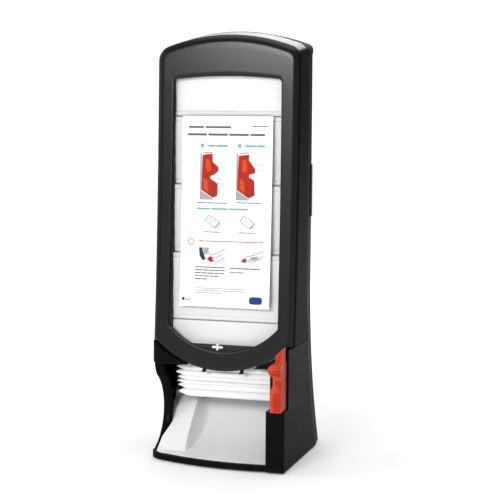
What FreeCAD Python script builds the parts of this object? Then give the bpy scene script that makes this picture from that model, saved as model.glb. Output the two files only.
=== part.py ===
import FreeCAD, Part
import math
import os
import Sketcher

# Counter-top napkin dispenser: a tall rear housing on a scooped base, with a
# windowed front cover that lifts on two swan-neck arms.
# Lengths are millimetres.  X runs to the right, Y to the back, +Z is up.  Outlines are
# drawn about the dispenser's own datum and moved by datum_y when they are placed.

Vector = FreeCAD.Vector

doc = FreeCAD.newDocument("NapkinDispenser")
sheet = doc.addObject("Spreadsheet::Sheet", "params")

DRIVING = [
    ("overall_width", 215.0, "side wall to side wall"),
    ("overall_height", 626.0, "counter to the top of the arch"),
    ("wall_thick", 3.0, "moulded wall of housing and cover"),
    ("foot_height", 2.0, "rubber feet below the base"),
    ("rear_plane", 55.5, "upper back face"),
    ("strip_depth", 49.7, "rear housing side strip, front to back"),
    ("toe_in", 6.0, "side strip narrows by this toward the back"),
    ("flare_start", 257.0, "height where the back starts to flare"),
    ("flare_radius", 608.0, "radius of the flared back"),
    ("seam_gap", 0.8, "gap between cover and housing"),
    ("arch_radius", 272.0, "radius of the arched top"),
    ("corner_radius", 22.0, "radius of the top shoulders"),
    ("cover_apex", 618.6, "top of the arch at the cover front"),
    ("crown_rise", 0.14, "rise of the cover top toward the back, per mm"),
    ("face_radius", 6209.0, "shallow forward curve of the cover face"),
    ("face_level", 700.0, "height where the face curve is upright"),
    ("face_front", -47.79, "depth of the face at that height"),
    ("rim_radius", 10.5, "rounded rim round the cover face"),
    ("cover_foot", 174.2, "lower edge of the cover sides"),
    ("mouth_radius", 150.0, "curve of the cover's lower edge"),
    ("mouth_low", 134.5, "lowest point of that curve"),
    ("window_half", 83.5, "half width of the window opening"),
    ("window_top", 559.7, "top of the window opening"),
    ("window_top_radius", 740.0, "radius of the window's top edge"),
    ("window_low", 161.5, "bottom of the window opening"),
    ("window_low_radius", 112.0, "radius of the window's bottom edge"),
    ("window_corner", 6.0, "corner radius of the window"),
    ("sill_level", 171.5, "top of the dark sill behind the window's foot"),
    ("card_half", 68.5, "half width of the printed card"),
    ("card_low", 225.8, "bottom of the card"),
    ("card_high", 502.4, "top of the card"),
    ("hinge_depth", 45.0, "cover pivot, front to back"),
    ("hinge_level", 599.0, "cover pivot height"),
    ("pin_radius", 3.0, "hinge pin"),
    ("base_top", 173.3, "top of the base side walls"),
    ("base_wall", 3.5, "base wall thickness"),
    ("apron_front", -79.0, "front of the base apron"),
    ("apron_low", 142.0, "upper edge of the dispensing mouth"),
    ("column_left", 80.0, "inner face of the right column"),
    ("column_top", 88.5, "top of the right column"),
    ("column_front", -117.0, "front of the right column"),
    ("shelf_level", 90.5, "top of the napkin shelf"),
    ("napkin_length", 165.0, "folded napkin, side to side"),
    ("napkin_depth", 82.0, "folded napkin pack, front to back"),
    ("bar_low", 354.7, "latch bar bottom"),
    ("bar_high", 431.5, "latch bar top"),
    ("bar_front", 31.0, "latch bar front edge"),
    ("bar_back", 49.0, "latch bar back edge"),
    ("bar_proud", 1.6, "latch bar stands out by this"),
    ("guide_front", -124.0, "foremost point of the finger guide"),
    ("wall_hole_x", 140.0, "wall screw spacing, side to side"),
    ("wall_hole_z", 220.0, "wall screw spacing, up and down"),
    ("wall_hole_radius", 2.75, "wall screw hole"),
    ("datum_y", 6.22, "moves the datum to the middle of the footprint"),
]


class Dim:
    """A length that carries its number and the spreadsheet expression behind it."""

    def __init__(self, value, text):
        self.value = float(value)
        self.text = text

    def __add__(self, other):
        other = dim(other)
        return Dim(self.value + other.value, "(%s + %s)" % (self.text, other.text))

    def __radd__(self, other):
        return dim(other) + self

    def __sub__(self, other):
        other = dim(other)
        return Dim(self.value - other.value, "(%s - %s)" % (self.text, other.text))

    def __rsub__(self, other):
        return dim(other) - self

    def __mul__(self, other):
        other = dim(other)
        return Dim(self.value * other.value, "(%s * %s)" % (self.text, other.text))

    def __rmul__(self, other):
        return dim(other) * self

    def __truediv__(self, other):
        other = dim(other)
        return Dim(self.value / other.value, "(%s / %s)" % (self.text, other.text))

    def __neg__(self):
        return Dim(-self.value, "(0 - %s)" % self.text)


def dim(value):
    """Wrap a plain number so it can be mixed with spreadsheet lengths."""
    if isinstance(value, Dim):
        return value
    return Dim(value, "(%.6f)" % value)


def root(value):
    return Dim(math.sqrt(value.value), "sqrt(%s)" % value.text)


P = {}
for row, (alias, value, note) in enumerate(DRIVING, 1):
    sheet.set("A%d" % row, note)
    sheet.set("B%d" % row, "%g" % value)
    sheet.setAlias("B%d" % row, alias)
    P[alias] = Dim(value, "params.%s" % alias)
doc.recompute()

half_width = P["overall_width"] / 2
floor = P["foot_height"]
wall = P["wall_thick"]


# ---------------------------------------------------------------- building blocks

def bind(obj, prop, value):
    obj.setExpression(prop, dim(value).text)


own_depth = {}


def place(obj, x=0, y=0, z=0):
    own_depth[obj.Name] = dim(y)
    for axis, value in zip("xyz", (x, y, z)):
        bind(obj, "Placement.Base.%s" % axis, value)


def box(name, xs, ys, zs):
    """A block between two X, two Y and two Z levels."""
    block = doc.addObject("Part::Box", name)
    for prop, (low, high) in zip(("Length", "Width", "Height"), (xs, ys, zs)):
        bind(block, prop, dim(high) - dim(low))
    place(block, xs[0], ys[0], zs[0])
    return block


TURN = {
    "x": FreeCAD.Rotation(Vector(0, 1, 0), 90),
    "y": FreeCAD.Rotation(Vector(1, 0, 0), -90),
    "z": FreeCAD.Rotation(),
}


def rod(name, axis, start, radius, length):
    """A cylinder from a start point along +X, +Y or +Z."""
    cylinder = doc.addObject("Part::Cylinder", name)
    cylinder.Placement = FreeCAD.Placement(Vector(), TURN[axis])
    bind(cylinder, "Radius", radius)
    bind(cylinder, "Height", length)
    place(cylinder, *start)
    return cylinder


def cut(name, base, tool):
    result = doc.addObject("Part::Cut", name)
    result.Base = base
    result.Tool = tool
    return result


def fuse(name, shapes):
    result = doc.addObject("Part::MultiFuse", name)
    result.Shapes = shapes
    return result


def common(name, shapes):
    result = doc.addObject("Part::MultiCommon", name)
    result.Shapes = shapes
    return result


def group(name, shapes):
    """Identical pieces kept together as separate solids of one node."""
    result = doc.addObject("Part::Compound", name)
    result.Links = shapes
    return result


def origin_item(body, role):
    return [item for item in body.Origin.OriginFeatures if item.Role == role][0]


def arc_between(start, end, radius):
    """The minor arc from start to end; a positive radius keeps its centre on the left."""
    chord = end - start
    lift = math.sqrt(max(radius * radius - chord.Length ** 2 / 4.0, 0.0))
    side = Vector(-chord.y, chord.x, 0).normalize()
    centre = (start + end) * 0.5 + side * math.copysign(lift, radius)
    first, last = (start, end) if radius > 0 else (end, start)
    angles = [math.atan2(p.y - centre.y, p.x - centre.x) for p in (first, last)]
    if angles[1] < angles[0]:
        angles[1] += 2 * math.pi
    circle = Part.Circle(centre, Vector(0, 0, 1), abs(radius))
    return Part.ArcOfCircle(circle, angles[0], angles[1])


def draw(sketch, outline, closed=True):
    """Draw an outline and tie every corner and radius to its driving length.

    Each corner is (u, v) or (u, v, radius); a radius turns the edge that leaves the
    corner into an arc, with its centre on the left when the radius is positive."""
    corners = [(dim(c[0]), dim(c[1]), dim(c[2]) if len(c) > 2 else None) for c in outline]
    points = [Vector(c[0].value, c[1].value, 0) for c in corners]
    count = len(corners) if closed else len(corners) - 1
    ends = []
    for i in range(count):
        start = points[i]
        end = points[(i + 1) % len(points)]
        radius = corners[i][2]
        if radius is None:
            index = sketch.addGeometry(Part.LineSegment(start, end))
            ends.append((index, 1, 2))
            continue
        index = sketch.addGeometry(arc_between(start, end, radius.value))
        ends.append((index, 1, 2) if radius.value > 0 else (index, 2, 1))
    for i in range(1 if not closed else 0, count):
        before = ends[i - 1]
        sketch.addConstraint(
            Sketcher.Constraint("Coincident", before[0], before[2], ends[i][0], ends[i][1]))
    fixed = [(ends[i][0], ends[i][1], corners[i]) for i in range(count)]
    if not closed:
        fixed.append((ends[-1][0], ends[-1][2], corners[-1]))
    for index, which, corner in fixed:
        for kind, value in (("DistanceX", corner[0]), ("DistanceY", corner[1])):
            number = sketch.addConstraint(
                Sketcher.Constraint(kind, -1, 1, index, which, value.value))
            sketch.setExpression("Constraints[%d]" % number, value.text)
    for i in range(count):
        radius = corners[i][2]
        if radius is None:
            continue
        number = sketch.addConstraint(
            Sketcher.Constraint("Radius", ends[i][0], abs(radius.value)))
        text = radius.text if radius.value > 0 else (-radius).text
        sketch.setExpression("Constraints[%d]" % number, text)


def new_sketch(body, name, role, offset=0):
    sketch = body.newObject("Sketcher::SketchObject", name)
    sketch.AttachmentSupport = [(origin_item(body, role), "")]
    sketch.MapMode = "FlatFace"
    bind(sketch, "AttachmentOffset.Base.z", offset)
    return sketch


def prism(name, role, outline, start, end, lean=None):
    """A padded outline between two levels along the plane's own axis.

    XY outlines run along Z, XZ outlines along Y and YZ outlines along X.  A lean lifts
    an XZ outline by that much per mm as it runs toward the back."""
    body = doc.addObject("PartDesign::Body", name)
    backward = role == "XZ_Plane"
    sketch = new_sketch(body, name + "_outline", role, -dim(start) if backward else start)
    draw(sketch, outline)
    pad = body.newObject("PartDesign::Pad", name + "_pad")
    pad.Profile = sketch
    bind(pad, "Length", dim(end) - dim(start))
    pad.Reversed = backward
    if lean is not None:
        pad.UseCustomVector = True
        pad.Reversed = False
        pad.Direction = Vector(0, 1, 0)
        bind(pad, "Direction.z", lean)
        pad.AlongSketchNormal = True
    body.Tip = pad
    return body


def round_edges(name, base, radius, wanted):
    """Fillet the edges whose middle point passes the test."""
    doc.recompute()
    fillet = doc.addObject("Part::Fillet", name)
    fillet.Base = base
    chosen = []
    for number, edge in enumerate(base.Shape.Edges, 1):
        middle = edge.valueAt((edge.FirstParameter + edge.LastParameter) / 2.0)
        if wanted(middle):
            chosen.append((number, dim(radius).value, dim(radius).value))
    fillet.Edges = chosen
    return fillet


# ---------------------------------------------------------------- shared curves

def rear_line(z, inset=0):
    """Depth of the flared back at a height."""
    drop = P["flare_start"] - z
    return (P["rear_plane"] + P["flare_radius"]
            - root(P["flare_radius"] * P["flare_radius"] - drop * drop) - inset)


def face_line(z, inset=0):
    """Depth of the cover's face at a height, moved back by an inset."""
    rise = dim(z) - P["face_level"]
    return (P["face_front"] - P["face_radius"]
            + root(P["face_radius"] * P["face_radius"] - rise * rise) + inset)


def arch_outline(apex, inset, low):
    """Upright sides, rounded shoulders and arched top, drawn in the XZ plane."""
    side = half_width - inset
    arch = P["arch_radius"] - inset
    corner = P["corner_radius"] - inset
    centre = apex - P["arch_radius"]
    reach = P["arch_radius"] - P["corner_radius"]
    across = half_width - P["corner_radius"]
    up = root(reach * reach - across * across)
    touch_x = across * arch / reach
    touch_z = centre + up * arch / reach
    return [
        (-side, low),
        (side, low),
        (side, centre + up, corner),
        (touch_x, touch_z, arch),
        (-touch_x, touch_z, corner),
        (-side, centre + up),
    ]


def window_outline(grow):
    """The window opening, grown outward by a margin, drawn in the XZ plane."""
    side = P["window_half"] + grow
    low_radius = P["window_low_radius"] + grow
    low_centre = P["window_low"] + P["window_low_radius"]
    low_z = low_centre - root(low_radius * low_radius - side * side)
    top_radius = P["window_top_radius"] + grow
    top_centre = P["window_top"] - P["window_top_radius"]
    corner = P["window_corner"] + grow / 2
    inner = side - 2 - corner
    shoulder = top_centre + root(top_radius * top_radius - inner * inner)
    return [
        (-side, low_z, low_radius),
        (side, low_z),
        (side - 2, shoulder - corner, corner),
        (inner, shoulder, top_radius),
        (-inner, shoulder, corner),
        (2 - side, shoulder - corner),
    ]


def below_cover_edge(clear):
    """Everything under the cover's lower edge, less a clearance, in the XZ plane."""
    foot = P["cover_foot"] - clear
    radius = P["mouth_radius"] + clear
    centre = P["mouth_low"] + P["mouth_radius"]
    rise = centre - foot
    reach = root(radius * radius - rise * rise)
    return [
        (-130, 60),
        (130, 60),
        (130, foot),
        (reach, foot, -radius),
        (-reach, foot),
        (-130, foot),
    ]


def face_band(name, near, far, low=100.0, high=640.0):
    """A layer that follows the cover face between two insets."""
    outline = [
        (face_line(low, far), low, P["face_radius"]),
        (face_line(high, far), high),
        (face_line(high, near), high, -P["face_radius"]),
        (face_line(low, near), low),
    ]
    return prism(name, "YZ_Plane", outline, -120, 120)


# ---------------------------------------------------------------- rear housing

def housing_solid(name, inset):
    """Toed-in section carried down the straight back and round the flare."""
    body = doc.addObject("PartDesign::Body", name)
    section = new_sketch(body, name + "_section", "XY_Plane", floor)
    back = rear_line(floor, inset)
    front = rear_line(floor) - P["strip_depth"] - (1 if inset else 0)
    narrow = half_width - inset - P["toe_in"]
    corner = 9.0 - inset
    draw(section, [
        (inset - half_width, front),
        (half_width - inset, front),
        (narrow, back - corner, corner),
        (narrow - corner, back),
        (corner - narrow, back, corner),
        (-narrow, back - corner),
    ])
    spine = new_sketch(body, name + "_spine", "YZ_Plane")
    draw(spine, [
        (rear_line(floor), floor, -P["flare_radius"]),
        (P["rear_plane"], P["flare_start"]),
        (P["rear_plane"], P["overall_height"] + 20),
    ], closed=False)
    pipe = body.newObject("PartDesign::AdditivePipe", name + "_sweep")
    pipe.Profile = section
    pipe.Spine = (spine, ["Edge1", "Edge2"])
    pipe.Mode = "Fixed"
    body.Tip = pipe
    return body


housing_outer = common("housing_outer", [
    housing_solid("housing_form", 0),
    prism("housing_arch", "XZ_Plane", arch_outline(P["overall_height"], 0, -20), -20, 140),
])
housing_inner = common("housing_inner", [
    housing_solid("housing_core", wall),
    prism("housing_arch_core", "XZ_Plane",
          arch_outline(P["overall_height"], wall, -20), -20, 140),
])
bar_slot = box("bar_slot", (90, 120),
               (P["bar_front"] - 0.4, P["bar_back"] + 0.4),
               (P["bar_low"] - 0.4, P["bar_high"] + 0.4))
wall_holes = []
for sign_x in (-1, 1):
    for sign_z in (-1, 1):
        wall_holes.append(rod(
            "wall_hole", "y",
            (sign_x * P["wall_hole_x"] / 2, P["rear_plane"] - 8,
             430 + sign_z * P["wall_hole_z"] / 2),
            P["wall_hole_radius"], 12))
hinge_bosses = []
hinge_bores = []
for sign in (-1, 1):
    boss_start = 93.6 if sign > 0 else -101.5
    bore_start = 91.5 if sign > 0 else -99.1
    hinge_bosses.append(rod("hinge_boss", "x",
                            (boss_start, P["hinge_depth"], P["hinge_level"]), 6.0, 7.9))
    hinge_bores.append(rod("hinge_bore", "x",
                           (bore_start, P["hinge_depth"], P["hinge_level"]),
                           P["pin_radius"], 7.6))
housing_shell = cut("housing_shell", housing_outer, housing_inner)
housing_bossed = fuse("housing_bossed", [housing_shell] + hinge_bosses)
rear_housing = cut("rear_housing", housing_bossed,
                   group("housing_holes", wall_holes + hinge_bores + [bar_slot]))

hinge_pins = []
for sign, label in ((-1, "hinge_pin_left"), (1, "hinge_pin_right")):
    shank = rod(label + "_shank", "x",
                (87.6 if sign > 0 else -99.1, P["hinge_depth"], P["hinge_level"]),
                P["pin_radius"], 11.5)
    head = rod(label + "_head", "x",
               (87.4 if sign > 0 else -89.2, P["hinge_depth"], P["hinge_level"]), 5.0, 1.8)
    hinge_pins.append(fuse(label, [shank, head]))

# ---------------------------------------------------------------- front cover

seam_front = P["rear_plane"] - P["strip_depth"] - P["seam_gap"]
crown_at_seam = 632.0
cover_side = prism("cover_side", "YZ_Plane", [
    (seam_front, 100),
    (seam_front, 596),
    (seam_front - 2.4, crown_at_seam),
    (face_line(crown_at_seam), crown_at_seam, -P["face_radius"]),
    (face_line(100), 100),
], -120, 120)
cover_arch = prism("cover_arch", "XZ_Plane",
                   arch_outline(P["cover_apex"] - 5.6, 0, 60), -85, 20, P["crown_rise"])
cover_block = common("cover_block", [cover_arch, cover_side])


def on_face(inset):
    def test(point):
        line = face_line(point.z, inset).value
        return abs(point.y - line) < 0.02 and point.z > 105
    return test


cover_rounded = round_edges("cover_rounded", cover_block, P["rim_radius"], on_face(0))
core_side = prism("core_side", "YZ_Plane", [
    (20, 90),
    (20, crown_at_seam),
    (face_line(crown_at_seam, wall), crown_at_seam, -P["face_radius"]),
    (face_line(90, wall), 90),
], -120, 120)
core_arch = prism("core_arch", "XZ_Plane",
                  arch_outline(P["cover_apex"] - 5.6, wall, 50), -85, 30, P["crown_rise"])
core_block = common("core_block", [core_arch, core_side])


def on_core(point):
    line = face_line(point.z, wall).value
    return abs(point.y - line) < 0.02 and point.z > 95


core_rounded = round_edges("core_rounded", core_block, P["rim_radius"] - wall, on_core)
cover_shell = cut("cover_shell", cover_rounded, core_rounded)
window_cut = prism("window_cut", "XZ_Plane", window_outline(dim(0)), -95, -30)
edge_cut = prism("edge_cut", "XZ_Plane", below_cover_edge(0), -95, 30)
cover_open = cut("cover_open", cover_shell, group("cover_openings", [window_cut, edge_cut]))

arm_pads = []
for sign in (-1, 1):
    low, high = (93.05, 105.0) if sign > 0 else (-105.0, -93.05)
    arm_pads.append(box("arm_pad", (low, high), (-28, -6), (547, 565)))
strike_pad = box("strike_pad", (91.55, 105.0), (-28, -6), (383, 403))
pad_holes = []
for sign in (-1, 1):
    for depth in (-22.5, -11.5):
        start = 93.0 if sign > 0 else -102.0
        pad_holes.append(rod("pad_hole", "x", (start, depth, 556), 1.5, 9))
for depth in (-22.5, -11.5):
    pad_holes.append(rod("pad_hole", "x", (91.0, depth, 393), 1.5, 9))
cover_bossed = fuse("cover_bossed", [cover_open] + arm_pads + [strike_pad])
front_cover = cut("front_cover", cover_bossed, group("cover_holes", pad_holes))

# ---------------------------------------------------------------- window and card

pane_outline = window_outline(dim(4))
window_pane = common("window_pane", [
    prism("pane_area", "XZ_Plane", pane_outline, -95, -30),
    face_band("pane_layer", wall + 0.05, wall + 1.85),
])
frame_area = cut("frame_area",
                 prism("frame_outside", "XZ_Plane", window_outline(dim(9)), -95, -30),
                 prism("frame_inside", "XZ_Plane", window_outline(dim(4.3)), -96, -29))
lip_area = cut("lip_area",
               prism("lip_outside", "XZ_Plane", window_outline(dim(9)), -95, -30),
               prism("lip_inside", "XZ_Plane", window_outline(dim(1)), -96, -29))
sill_area = common("sill_area", [
    prism("sill_outside", "XZ_Plane", window_outline(dim(8)), -94, -31),
    box("sill_limit", (-80, 80), (-93, -32), (150, P["sill_level"])),
])
window_frame = fuse("window_frame", [
    common("frame_wall", [frame_area, face_band("frame_layer", wall + 0.05, 7.6)]),
    common("frame_lip", [lip_area, face_band("lip_layer", 7.55, 9.2)]),
    common("frame_sill", [sill_area, face_band("sill_layer", 7.5, 9.0)]),
])
instruction_card = common("instruction_card", [
    box("card_area", (-P["card_half"], P["card_half"]), (-95, -30),
        (P["card_low"], P["card_high"])),
    face_band("card_layer", 5.1, 5.7),
])
inner_panel = common("inner_panel", [
    prism("panel_area", "XZ_Plane", window_outline(dim(3.8)), -95, -30),
    face_band("panel_layer", 5.9, 7.1),
])
card_clip = common("card_clip", [
    fuse("clip_bars", [
        box("clip_across", (-16, 0), (-95, -30), (166.4, 169.6)),
        box("clip_upright", (-9.6, -6.4), (-95, -30), (163.5, 172.5)),
    ]),
    face_band("clip_layer", 4.95, 5.8),
])

fingers = []
for centre in (-27.0, 30.0):
    fingers.append(fuse("finger", [
        box("finger_leg", (centre - 2.5, centre + 2.5), (-68.0, -65.4), (131.5, 150)),
        box("finger_toe", (centre - 2.5, centre + 2.5), (-72.5, -68.0), (131.5, 133.9)),
    ]))
retaining_fingers = group("retaining_fingers", fingers)

# ---------------------------------------------------------------- cover hinge arms

def swan_neck(name, low, high):
    """Flat arm from the pivot, down behind the seam and forward to the cover pad."""
    pivot_y = P["hinge_depth"]
    pivot_z = P["hinge_level"]
    blade = prism(name + "_blade", "YZ_Plane", [
        (-28, pivot_z - 52),
        (pivot_y - 2, pivot_z - 52, 8.0),
        (pivot_y + 6, pivot_z - 44),
        (pivot_y + 6, pivot_z),
        (pivot_y - 6, pivot_z),
        (pivot_y - 6, pivot_z - 31, -6.0),
        (pivot_y - 12, pivot_z - 37),
        (-28, pivot_z - 37),
    ], low, high)
    eye = rod(name + "_eye", "x", (low, pivot_y, pivot_z), 6.0, high - low)
    holes = [rod(name + "_bore", "x", (low - 1, pivot_y, pivot_z),
                 P["pin_radius"] + 0.05, high - low + 2)]
    for depth in (-22.5, -11.5):
        holes.append(rod(name + "_hole", "x", (low - 1, depth, 556), 1.7, high - low + 2))
    return cut(name, fuse(name + "_whole", [blade, eye]), group(name + "_holes", holes))


hinge_arm_right = swan_neck("hinge_arm_right", 90.0, 93.0)
hinge_arm_left = swan_neck("hinge_arm_left", -93.0, -90.0)


def screw(name, axis, start, shank, head, flip=False):
    """Pan-head screw; the head sits at the start, or at the far end when flipped."""
    step = {"x": Vector(1, 0, 0), "y": Vector(0, 1, 0), "z": Vector(0, 0, 1)}[axis]
    shank_radius, shank_length = shank
    head_radius, head_length = head
    head_shift = shank_length if flip else -head_length
    head_start = tuple(dim(a) + b for a, b in zip(start, step * head_shift))
    return fuse(name, [
        rod(name + "_shank", axis, start, shank_radius, shank_length),
        rod(name + "_head", axis, head_start, head_radius, head_length),
    ])


screws = []
for sign in (-1, 1):
    for depth in (-22.5, -11.5):
        start = 90.0 if sign > 0 else -101.0
        screws.append(screw("arm_screw", "x", (start, depth, 556), (1.5, 11),
                            (3.2, 1.9), flip=sign < 0))
arm_screws = group("arm_screws", screws)

# ---------------------------------------------------------------- latch

strike_blade = box("strike_blade", (89.5, 91.5), (-28, 44), (383, 403))
strike_holes = [box("strike_window", (89, 92), (32.5, 42.5), (387.5, 398.5))]
for depth in (-22.5, -11.5):
    strike_holes.append(rod("strike_hole", "x", (89, depth, 393), 1.7, 4))
cover_strike = cut("cover_strike", strike_blade, group("strike_cuts", strike_holes))
strike_screws = group("strike_screws", [
    screw("strike_screw", "x", (89.5, depth, 393), (1.5, 9), (3.2, 1.9))
    for depth in (-22.5, -11.5)
])


def side_face(y, inset=0):
    """Outer side face of the toed-in strip at a depth above the flare."""
    slope = P["toe_in"] / (P["strip_depth"] - 9.0)
    front = P["rear_plane"] - P["strip_depth"]
    return half_width - (dim(y) - front) * slope - inset


bar_body = prism("bar_body", "XY_Plane", [
    (96.2, P["bar_front"]),
    (side_face(P["bar_front"]) + P["bar_proud"], P["bar_front"]),
    (side_face(P["bar_back"]) + P["bar_proud"], P["bar_back"]),
    (96.2, P["bar_back"]),
], P["bar_low"], P["bar_high"])
bar_flange = box("bar_flange", (95.0, 96.4), (P["bar_front"] - 2, P["bar_back"] + 1.2),
                 (P["bar_low"] - 4, P["bar_high"] + 4))
bar_nose = box("bar_nose", (92.1, 95.5), (34.5, 40.5), (390, 396))
latch_bar = fuse("latch_bar", [bar_body, bar_flange, bar_nose])

bracket_plate = box("bracket_plate", (86.8, 88.3), (29, 46),
                    (P["bar_low"] - 8, P["bar_high"] + 8))
bracket_legs = []
for level in (P["bar_low"] - 8, P["bar_high"] + 6):
    bracket_legs.append(prism("bracket_leg", "XY_Plane", [
        (88.0, 29),
        (side_face(29, 3.1), 29),
        (side_face(46, 3.1), 46),
        (88.0, 46),
    ], level, level + 2))
latch_bracket = fuse("latch_bracket", [bracket_plate] + bracket_legs)


def coil(name, x, y, z, length):
    """Small compression spring lying along X."""
    body = doc.addObject("PartDesign::Body", name)
    sketch = new_sketch(body, name + "_wire", "XZ_Plane")
    sketch.addGeometry(Part.Circle(Vector(2.4, 0, 0), Vector(0, 0, 1), 0.35))
    helix = body.newObject("PartDesign::AdditiveHelix", name + "_coil")
    helix.Profile = sketch
    helix.ReferenceAxis = (origin_item(body, "Z_Axis"), [""])
    helix.Mode = "pitch-height-angle"
    helix.Pitch = 1.5
    helix.Height = length
    body.Tip = helix
    body.Placement = FreeCAD.Placement(Vector(x, y, z), TURN["x"])
    return body


latch_springs = group("latch_springs", [
    coil("spring", 88.65, 38.0, level, 6.0) for level in (364.0, 422.0)
])

# ---------------------------------------------------------------- base

def seam_line(z):
    """Front edge of the rear housing strip, less the seam gap."""
    return rear_line(dim(z)) - P["strip_depth"] - P["seam_gap"]


base_back = [
    (seam_line(floor), floor, -P["flare_radius"]),
    (seam_line(P["base_top"]), P["base_top"]),
]
scoop_radius = dim(59.8)
wall_left = prism("wall_left", "YZ_Plane", base_back + [
    (-59.5, P["base_top"]),
    (-59.5, 141.9, 32.0),
    (-46.0, 115.8, -scoop_radius),
    (-57.0, 12.0),
    (-60.0, 9.0),
    (-60.0, floor),
], -half_width, P["base_wall"] - half_width)
wall_right = prism("wall_right", "YZ_Plane", base_back + [
    (-92.7, P["base_top"]),
    (-92.7, P["column_top"] - 1),
    (-100.0, P["column_top"] - 1),
    (-100.0, floor),
], half_width - P["base_wall"], half_width)

column_outer = prism("column_outer", "XY_Plane", [
    (P["column_left"], -60),
    (P["column_left"], P["column_front"] + 4, 4.0),
    (P["column_left"] + 4, P["column_front"]),
    (half_width - 4, P["column_front"], 4.0),
    (half_width, P["column_front"] + 4),
    (half_width, -60),
], floor, P["column_top"])
column_core = box("column_core",
                  (P["column_left"] + 3, half_width - P["base_wall"]),
                  (P["column_front"] + 3, -50), (0, P["column_top"] - 3))
column = cut("column", column_outer, column_core)

mouth_jamb = box("mouth_jamb", (P["column_left"], P["column_left"] + 3),
                 (-93, -22), (P["column_top"] - 3, 146))
guide_wall = box("guide_wall", (P["column_left"], half_width - 1),
                 (-93, -90), (P["column_top"] - 3, 156))

apron_band = cut(
    "apron_band",
    prism("apron_outside", "XY_Plane", [
        (-half_width, -50),
        (-half_width, P["apron_front"] + 18, 18.0),
        (18 - half_width, P["apron_front"]),
        (P["column_left"] + 3, P["apron_front"]),
        (P["column_left"] + 3, -50),
    ], P["apron_low"], P["base_top"]),
    prism("apron_inside", "XY_Plane", [
        (P["base_wall"] - half_width, -49),
        (P["base_wall"] - half_width, P["apron_front"] + 18, 14.5),
        (18 - half_width, P["apron_front"] + P["base_wall"]),
        (130, P["apron_front"] + P["base_wall"]),
        (130, -49),
    ], P["apron_low"] - 1, P["base_top"] + 1))
apron = common("apron", [
    apron_band,
    prism("apron_limit", "XZ_Plane", below_cover_edge(dim(1.2)), -100, -20),
])
ledge = common("ledge", [
    prism("ledge_outside", "XY_Plane", [
        (-half_width, -57),
        (-half_width, P["apron_front"] + 18, 18.0),
        (18 - half_width, P["apron_front"]),
        (P["column_left"] + 3, P["apron_front"]),
        (P["column_left"] + 3, -57),
    ], P["apron_low"], P["base_top"]),
    cut("ledge_strip",
        prism("ledge_top", "XZ_Plane", below_cover_edge(dim(1.2)), -100, -57),
        prism("ledge_under", "XZ_Plane", below_cover_edge(dim(4.2)), -101, -56)),
])

lip_outline = [
    (-half_width, -50),
    (-half_width, -62, 34.0),
    (-82.0, -94.6, 330.0),
    (P["column_left"] + 2, -114.2),
    (P["column_left"] + 2, -105.0, -322.0),
    (-78.0, -87.0, -28.0),
    (P["base_wall"] - half_width, -60),
    (P["base_wall"] - half_width, -50),
]
front_lip = prism("front_lip", "XY_Plane", lip_outline, floor, 10.0)

rib_levels = (P["shelf_level"] - 4.5, P["shelf_level"] - 2.05)
ribs = [
    box("shelf_rib", (1 - half_width, -98), (-16, 26), rib_levels),
    box("shelf_rib", (98, half_width - 1), (-16, 26), rib_levels),
]
screw_spots = [(-99.0, 46.0), (99.0, 46.0), (99.0, -40.0), (94.0, -103.0)]
bosses = []
for x, y in screw_spots:
    reach = (x, half_width - 1) if x > 0 else (1 - half_width, x)
    bosses.append(fuse("screw_boss", [
        rod("screw_boss_post", "z", (x, y, 5.1), 4.5, 16),
        box("screw_boss_web", reach, (y - 1.5, y + 1.5), (5.1, 21.1)),
    ]))
base_whole = fuse("base_whole", [wall_left, wall_right, column, mouth_jamb, guide_wall,
                                 apron, ledge, front_lip] + ribs + bosses)
base_holes = [box("plate_room", (78, half_width - P["base_wall"] - 0.1),
                  (-104.8, -59), (0, 5.05))]
for x, y in screw_spots:
    base_holes.append(rod("boss_bore", "z", (x, y, 4), 1.5, 14))
for level in (104.0, 148.0):
    base_holes.append(rod("guide_bore", "y", (98.5, -94, level), 1.7, 5))
base_shell = cut("base_shell", base_whole, group("base_cuts", base_holes))

plate_blank = prism("plate_blank", "XY_Plane", [
    (-103.7, -60.0, 27.0),
    (-78.0, -86.5, 321.5),
    (76.5, -104.6),
    (103.7, -104.6),
    (103.7, 58.0),
    (97.6, 92.0),
    (92.0, 104.5),
    (-92.0, 104.5),
    (-97.6, 92.0),
    (-103.7, 58.0),
], floor, 5.0)
feet_spots = [(-78.0, -62.0), (68.0, -88.0), (78.0, 88.0), (-78.0, 88.0)]
plate_holes = []
for x, y in screw_spots:
    plate_holes.append(rod("plate_hole", "z", (x, y, 1), 1.7, 6))
for x, y in feet_spots:
    plate_holes.append(rod("foot_hole", "z", (x, y, 1), 3.0, 6))
base_plate = cut("base_plate", plate_blank, group("plate_holes", plate_holes))
base_screws = group("base_screws", [
    screw("base_screw", "z", (x, y, floor), (1.5, 14), (3.0, 1.4)) for x, y in screw_spots
])
rubber_feet = group("rubber_feet", [
    fuse("foot", [
        rod("foot_pad", "z", (x, y, 0), 9.0, floor),
        rod("foot_stem", "z", (x, y, floor), 3.0, 3.4),
    ]) for x, y in feet_spots
])

# ---------------------------------------------------------------- scoop tray

scoop = prism("scoop", "YZ_Plane", [
    (-104.0, 5.6),
    (-75.0, 5.6, 106.4),
    (31.2, 105.0),
    (31.2, 86.0),
    (28.0, 86.0),
    (28.0, 96.0, -104.0),
    (-75.0, 8.0),
    (-104.0, 8.0),
], -103.3, 79.6)
scoop_limit = prism("scoop_limit", "XY_Plane", [
    (-103.3, 40.0),
    (-103.3, -60.5, 27.0),
    (-78.0, -85.7, 321.0),
    (79.6, -103.7),
    (79.6, 40.0),
], 0, 85.9)


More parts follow.
